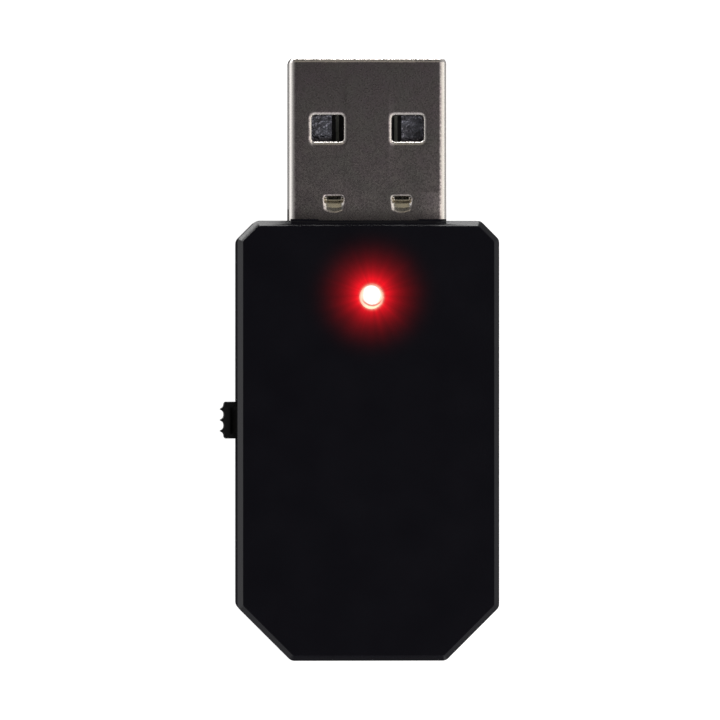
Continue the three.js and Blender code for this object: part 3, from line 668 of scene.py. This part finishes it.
def make_shell():
    """The plug's shell: a drawn tube with a seam below, latch windows on both sides, tabs and board legs."""
    width = SHELL_HIGH.x - SHELL_LOW.x
    middle = PLUG_TOP - SHELL_HEIGHT / 2
    back, tip = SHELL_LOW.y, PLUG_TIP
    body_back = back + LEG_LENGTH

    def ring(shrink, y):
        half_x, half_z = width / 2 - shrink, SHELL_HEIGHT / 2 - shrink
        outline = rounded_outline(half_x, half_z, SHELL_CORNER - shrink, CORNER_STEPS)
        return [(x, y, middle + z) for x, z in outline]

    rings = [ring(0, back)]
    rings += [ring(shrink * MM, tip - behind * MM) for shrink, behind in TIP_SLOPE]
    rings.append(ring(SHELL_WALL - TIP_LEAD, tip))
    rings.append(ring(SHELL_WALL, tip - TIP_LEAD))
    rings.append(ring(SHELL_WALL, back))
    tube = loft("tube", rings, looped=True)

    cutters = [box_mesh("seam", (-SEAM_HALF, back - MM, 0), (SEAM_HALF, tip + MM, middle))]
    for side in (-1, 1):
        window = (side * WINDOW_X, WINDOW_Y)
        cutters.append(window_cutter(window, PLUG_TOP, -1))
        cutters.append(window_cutter(window, PLUG_TOP - SHELL_HEIGHT, 1))
        cutters.append(slit_cutter(side * TAB_X, SLIT_Y, PLUG_TOP))
    inside = width / 2 - SHELL_WALL
    legs_low, legs_high = middle + LEG_SPAN[0], middle + LEG_SPAN[1]
    cutters.append(box_mesh("legs", (-width, back - MM, legs_high), (width, body_back, PLUG_TOP + MM)))
    cutters.append(box_mesh("legs", (-width, back - MM, 0), (width, body_back, legs_low)))
    cutters.append(box_mesh("legs", (-inside, back - MM, 0), (inside, body_back, PLUG_TOP + MM)))
    mesh = combined(tube, cutters, "DIFFERENCE")
    press_tabs(mesh, PLUG_TOP)
    return finish_piece("usb_shell_drawn", mesh, "plug_steel", "adapter", ["usb_shell"])


# ---------------------------------------------------------------- switch knob

KNOB_CORNER = 0.14 * MM
KNOB_CORNER_STEPS = 6
KNOB_ROUND = 0.1 * MM
KNOB_ROUND_STEPS = 4
KNOB_HALF_LENGTH = 1.4 * MM
KNOB_BOTTOM = KNOB_LOW.z
KNOB_TOP = KNOB_BOTTOM + 1.6 * MM
HEAD_INSET = 0.4 * MM  # how far inside the wall the head ends
SLIDER_INSET = 0.2 * MM  # how far inside the wall the kept part of the CAD piece starts
RIB_PITCH = 0.83 * MM
RIB_HEIGHT = 0.3 * MM
RIB_WIDTH = 0.11 * MM
RIB_STEPS = 96
# The head's top slopes down outwards from the wall to a step. The slope ends short of the head's ends, and a
# fine line is cut beyond each of its ends.
SLOPE_LENGTH = 0.5 * MM
SLOPE_DEPTH = 0.15 * MM
SLOPE_ENDS = (-1.02 * MM, 0.95 * MM)
LINES_Y = (-1.16 * MM, 1.14 * MM)
LINE_HALF = 0.02 * MM
LINE_DEPTH = 0.05 * MM


def knob_outline(inset, half_length, body_x, inner_x):
    """The knob's head from above: a block whose outer side is drawn into three narrow ribs."""
    points = []
    for i in range(RIB_STEPS + 1):
        y = (half_length - KNOB_CORNER) * (1 - 2 * i / RIB_STEPS)
        rise = max(1 / (1 + ((y - rib * RIB_PITCH) / RIB_WIDTH) ** 2) for rib in (-1, 0, 1))
        points.append((body_x + inset - RIB_HEIGHT * rise, y * (1 - inset / half_length)))
    corner = []
    for i in range(1, KNOB_CORNER_STEPS):
        turn = QUARTER_TURN * i / KNOB_CORNER_STEPS
        x = body_x + inset + (KNOB_CORNER - KNOB_CORNER * math.cos(turn))
        corner.append((x, half_length - inset - KNOB_CORNER + KNOB_CORNER * math.sin(turn)))
    lower = [(x, -y) for x, y in corner]
    upper = corner[::-1]
    ends = [(inner_x, -half_length + inset), (inner_x, half_length - inset)]
    return [*points, *lower, *ends, *upper]


def make_knob():
    """The knob's head with its ribs, joined to the CAD piece's slider inside the housing."""
    middle_y = KNOB_LOW.y + (KNOB_HIGH.y - KNOB_LOW.y) / 2
    body_x = KNOB_LOW.x + RIB_HEIGHT
    inner_x = WALL_X + HEAD_INSET
    turns = [QUARTER_TURN * i / KNOB_ROUND_STEPS for i in range(KNOB_ROUND_STEPS + 1)]
    rings = []
    for sign, surface in ((1, KNOB_BOTTOM), (-1, KNOB_TOP)):
        for turn in turns[::sign]:
            inset = KNOB_ROUND * (1 - math.sin(turn))
            z = surface + sign * KNOB_ROUND * (1 - math.cos(turn))
            outline = knob_outline(inset, KNOB_HALF_LENGTH, body_x, inner_x)
            rings.append([(x, middle_y + y, z) for x, y in outline])
    head = loft("head", rings)

    beyond_x, step_x, above = WALL_X + 0.5 * MM, WALL_X - SLOPE_LENGTH, KNOB_TOP + MM
    wedge = [(beyond_x, KNOB_TOP), (WALL_X, KNOB_TOP), (step_x, KNOB_TOP - SLOPE_DEPTH)]
    wedge += [(step_x, above), (beyond_x, above)]
    cutters = [loft("wedge", [[(x, middle_y + y, z) for x, z in wedge] for y in SLOPE_ENDS])]
    for y in LINES_Y:
        low = (KNOB_LOW.x - MM, middle_y + y - LINE_HALF, KNOB_TOP - LINE_DEPTH)
        cutters.append(box_mesh("line", low, (WALL_X, middle_y + y + LINE_HALF, above)))
    head = combined(head, cutters, "DIFFERENCE")

    inside = NODES["switch_knob"].data.copy()
    low = (KNOB_LOW.x - MM, KNOB_LOW.y - MM, 0)
    outer = box_mesh("outer", low, (WALL_X + SLIDER_INSET, KNOB_HIGH.y + MM, FACE_Z + MM))
    inside = combined(inside, [outer], "DIFFERENCE")
    whole = combined(inside, [head], "UNION")
    return finish_piece("switch_knob_ribbed", whole, "knob_plastic", "slider", ["switch_knob"])


# ---------------------------------------------------------------- contact carrier

RIDGE_X = 2.23 * MM
RIDGE_HALF = 0.115 * MM
RIDGE_BOTTOM = CARRIER_LOW.z + 0.9 * MM
RIDGE_START = 2 * MM  # from the housing's nose
RIDGE_END = 0.8 * MM  # short of the carrier's tip


def make_carrier():
    """The carrier with a low ridge between each outer contact and its neighbour."""
    body = NODES["usb_insulator"].data.copy()
    ridges = []
    for side in (-1, 1):
        x = side * RIDGE_X
        low_corner = (x - RIDGE_HALF, NOSE_Y + RIDGE_START, RIDGE_BOTTOM)
        high_corner = (x + RIDGE_HALF, CARRIER_HIGH.y - RIDGE_END, RIDGE_TOP)
        ridges.append(box_mesh("ridge", low_corner, high_corner))
    mesh = combined(body, ridges, "UNION")
    mesh = rounded_mesh(mesh, 0.03 * MM, 2)
    return finish_piece("usb_insulator_ridged", mesh, "carrier_plastic", "adapter", ["usb_insulator"])


# ---------------------------------------------------------------- refined copies of CAD nodes

FLAT_ANGLE = math.radians(1)
EDGE_ANGLE = math.radians(30)
SAME_POINT = 1e-7


def rounded_mesh(mesh, radius, steps):
    """The mesh with its flat faces made whole and its edges rounded."""
    bm = bmesh.new()
    bm.from_mesh(mesh)
    bmesh.ops.remove_doubles(bm, verts=bm.verts, dist=SAME_POINT)
    bmesh.ops.dissolve_limit(bm, angle_limit=FLAT_ANGLE, verts=bm.verts, edges=bm.edges)
    sharp = [e for e in bm.edges if e.is_manifold and e.calc_face_angle() > EDGE_ANGLE]
    bmesh.ops.bevel(
        bm, geom=sharp, offset=radius, segments=steps, profile=0.5, affect="EDGES", clamp_overlap=True
    )
    result = bpy.data.meshes.new("rounded")
    bm.to_mesh(result)
    bm.free()
    return result


def refined(node, radius, slot, body="adapter", steps=2, material=None):
    """A copy of a CAD node with its edges rounded."""
    mesh = rounded_mesh(NODES[node].data, radius, steps)
    return finish_piece(node + "_fine", mesh, slot, body, [node], material)


# ---------------------------------------------------------------- front cover

COVER_ROUND = 0.09 * MM
LEDGE_HALF = SHELL_HIGH.x - 0.1 * MM
LEDGE_BOTTOM = PLUG_TOP + 0.3 * MM
LEDGE_TOP = FACE_Z - 0.24 * MM
LEDGE_ROOT = 0.6 * MM
LEDGE_REACH = 0.02 * MM  # how far the ledge stands out of the nose, and how far its ends do
LEDGE_END_REACH = 0.12 * MM
LEDGE_END_LENGTH = 2.1 * MM


def make_front_cover():
    """The front cover with a small flat ledge over the plug, thicker at its ends."""
    mesh = rounded_mesh(NODES["front_cover"].data, COVER_ROUND, 4)
    inner = LEDGE_HALF - LEDGE_END_LENGTH
    spans = ((-LEDGE_HALF, LEDGE_HALF, LEDGE_REACH),)
    spans += ((-LEDGE_HALF, -inner, LEDGE_END_REACH), (inner, LEDGE_HALF, LEDGE_END_REACH))
    ledges = []
    for low_x, high_x, reach in spans:
        low = (low_x, NOSE_Y - LEDGE_ROOT, LEDGE_BOTTOM)
        ledges.append(box_mesh("ledge", low, (high_x, NOSE_Y + reach, LEDGE_TOP)))
    mesh = combined(mesh, ledges, "UNION")
    return finish_piece("front_cover_fine", mesh, "housing_plastic", "adapter", ["front_cover"])


# ---------------------------------------------------------------- light and floor

# Each light's name, direction round the object and elevation in degrees, distance, size, radiance and colour.
SOFTBOXES = (
    ("light_right", 0, 33, 0.5, (0.7, 0.6), 0.72, (1, 0.97, 0.9)),
    ("light_tail", 270, 42, 0.5, (0.6, 0.45), 0.5, (1, 1, 1)),
    ("light_nose", 112, -13, 0.4, (0.62, 0.085), 8.0, (1, 1, 0.99)),
    ("light_nose_high", 105, 45, 0.5, (0.4, 0.2), 0.3, (1, 0.95, 0.8)),
)
PLUG_CARD = 0.26  # the radiance of the light under the plug
PLUG_CARD_MARGIN = 3 * MM
PLUG_CARD_Z = 0.1 * MM


def area_light(name, size, radiance, location, back, colour=(1, 1, 1)):
    """A rectangular light that the camera doesn't see. It shines the other way from where its back points."""
    data = bpy.data.lights.new(name, "AREA")
    data.shape = "RECTANGLE"
    data.size, data.size_y = size
    data.energy = radiance * math.pi * size[0] * size[1]
    data.color = colour
    lamp = bpy.data.objects.new(name, data)
    bpy.context.scene.collection.objects.link(lamp)
    lamp.visible_camera = False
    lamp.location = location
    lamp.rotation_mode = "QUATERNION"
    lamp.rotation_quaternion = back.to_track_quat("Z", "Y")


def softbox(name, direction, elevation, distance, size, radiance, colour):
    """A light that faces the object from a direction round it and an elevation."""
    a, e = math.radians(direction), math.radians(elevation)
    away = Vector((math.cos(a) * math.cos(e), math.sin(a) * math.cos(e), math.sin(e)))
    area_light(name, size, radiance, AIM + away * distance, away, colour)


def make_plug_card():
    """A faint light on the floor under the plug, for the sides of its shell to reflect."""
    width = SHELL_HIGH.x - SHELL_LOW.x + 2 * PLUG_CARD_MARGIN
    length = PLUG_TIP - NOSE_Y - MM
    place = (0, NOSE_Y + MM + length / 2, PLUG_CARD_Z)
    area_light("light_plug_card", (width, length), PLUG_CARD, place, Vector((0, 0, -1)))


STUDIO = 1.1  # the strength of the studio in reflections, while the camera sees it at 1
# How bright the studio is at heights from straight down, 0, to straight up, 1.
HEIGHT_LEVELS = (
    (0.0, 0.1), (0.05, 0.15), (0.17, 0.9), (0.46, 1.0), (0.53, 0.76), (0.63, 0.55), (0.78, 0.22), (1.0, 0.48)
)
# What it is dimmed to from the left, 0, to the right, 1.
SIDE_LEVELS = (
    (0, 1.0), (0.07, 0.95), (0.17, 0.5), (0.35, 0.18), (0.5, 0.09),
    (0.58, 0.16), (0.66, 0.8), (0.84, 0.36), (1, 0.5)
)


def make_world():
    """A dim studio to the object's reflections and a pale one to the camera."""
    world = bpy.data.worlds.new("studio")
    bpy.context.scene.world = world
    world.use_nodes = True
    tree = world.node_tree
    new, link = tree.nodes.new, tree.links.new
    background = tree.nodes["Background"]
    direction = new("ShaderNodeSeparateXYZ")
    link(new("ShaderNodeTexCoord").outputs["Generated"], direction.inputs[0])

    def share(axis):
        """The direction along an axis, as 0 to 1."""
        node = new("ShaderNodeMapRange")
        node.inputs["From Min"].default_value = -1
        link(direction.outputs[axis], node.inputs["Value"])
        return node.outputs[0]

    ramp = new("ShaderNodeValToRGB")
    link(share(Z), ramp.inputs[0])
    elements = ramp.color_ramp.elements
    while len(elements) < len(HEIGHT_LEVELS):
        elements.new(0.5)
    for element, (position, level) in zip(elements, HEIGHT_LEVELS):
        element.position = position
        element.color = (level, level, level, 1)

    across = new("ShaderNodeFloatCurve")
    link(share(X), across.inputs["Value"])
    points = across.mapping.curves[0].points
    points[0].location, points[1].location = SIDE_LEVELS[0], SIDE_LEVELS[-1]
    for position, level in SIDE_LEVELS[1:-1]:
        points.new(position, level)
    across.mapping.update()

    shade = new("ShaderNodeMix")
    shade.data_type = "RGBA"
    shade.blend_type = "MULTIPLY"
    shade.inputs["Factor"].default_value = 1
    link(ramp.outputs[0], shade.inputs[6])
    link(across.outputs[0], shade.inputs[7])
    mix = new("ShaderNodeMix")
    mix.data_type = "RGBA"
    link(new("ShaderNodeLightPath").outputs["Is Camera Ray"], mix.inputs["Factor"])
    link(shade.outputs[2], mix.inputs[6])
    mix.inputs[7].default_value = (1 / STUDIO, 1 / STUDIO, 1 / STUDIO, 1)
    link(mix.outputs[2], background.inputs["Color"])
    background.inputs["Strength"].default_value = STUDIO


FLOOR_HALF = 1.5
FLOOR_DROP = 0.02 * MM
FLOOR_GLOW = 0.92


def make_floor():
    """A plain pale sheet under the object, which its reflections don't show."""
    mesh = bpy.data.meshes.new("floor")
    half = FLOOR_HALF
    corners = [(-half, -half, 0), (half, -half, 0), (half, half, 0), (-half, half, 0)]
    mesh.from_pydata(corners, [], [(0, 1, 2, 3)])
    floor = bpy.data.objects.new("floor", mesh)
    bpy.context.scene.collection.objects.link(floor)
    floor.location.z = -FLOOR_DROP
    floor.visible_glossy = False
    look = Shader("floor_paper").set(Roughness=0.9, Specular_IOR_Level=0.0)
    look.feed("Base Color", look.mix(look.noise(3 * MM, 2), (0.9, 0.9, 0.9), (0.88, 0.88, 0.88)))
    look.set(Emission_Color=(1, 1, 1, 1), Emission_Strength=FLOOR_GLOW)
    mesh.materials.append(look.material)


# ---------------------------------------------------------------- the scene

make_camera()
make_world()
make_floor()
for light in SOFTBOXES:
    softbox(*light)
make_plug_card()

make_front_cover()
refined("rear_cover", COVER_ROUND, "housing_plastic", steps=4)
make_shell()
make_carrier()
refined("light_pipe", 0.05 * MM, "light_guide")
make_knob()
for name in ("power", "data_minus", "data_plus", "ground"):
    refined("usb_contact_" + name, 0.02 * MM, "contact_plating")

refined("circuit_board", 0.03 * MM, "board_laminate", steps=1)
refined("antenna_trace", 0.01 * MM, "antenna_copper", steps=1)
refined("led_base", 0.03 * MM, "led_carrier")
refined("led_lens", 0.05 * MM, "led_lens")
for name in ("radio_chip", "memory_chip", "voltage_regulator"):
    refined(name, 0.03 * MM, "chip_resin")
refined("crystal", 0.05 * MM, "crystal_can")
refined("power_inductor", 0.06 * MM, "ferrite")
for number in range(1, 6):
    name = f"capacitor_{number}"
    material = end_capped(name, (0.30, 0.20, 0.11), (0.38, 0.27, 0.16), 0.5)
    refined(name, 0.03 * MM, "capacitor_ceramic", material=material)
for number in range(1, 4):
    name = f"resistor_{number}"
    material = end_capped(name, (0.010, 0.010, 0.011), (0.02, 0.02, 0.022), 0.35)
    refined(name, 0.02 * MM, "resistor_glaze", material=material)
refined("switch_frame", 0.05 * MM, "switch_steel")
refined("switch_base", 0.05 * MM, "switch_resin")
for number in range(1, 4):
    refined(f"switch_terminal_{number}", 0.03 * MM, "contact_plating")
refined("switch_wiper", 0.03 * MM, "wiper_bronze", "slider")

view = bpy.context.scene.view_settings
view.view_transform = "Standard"
view.look = "None"
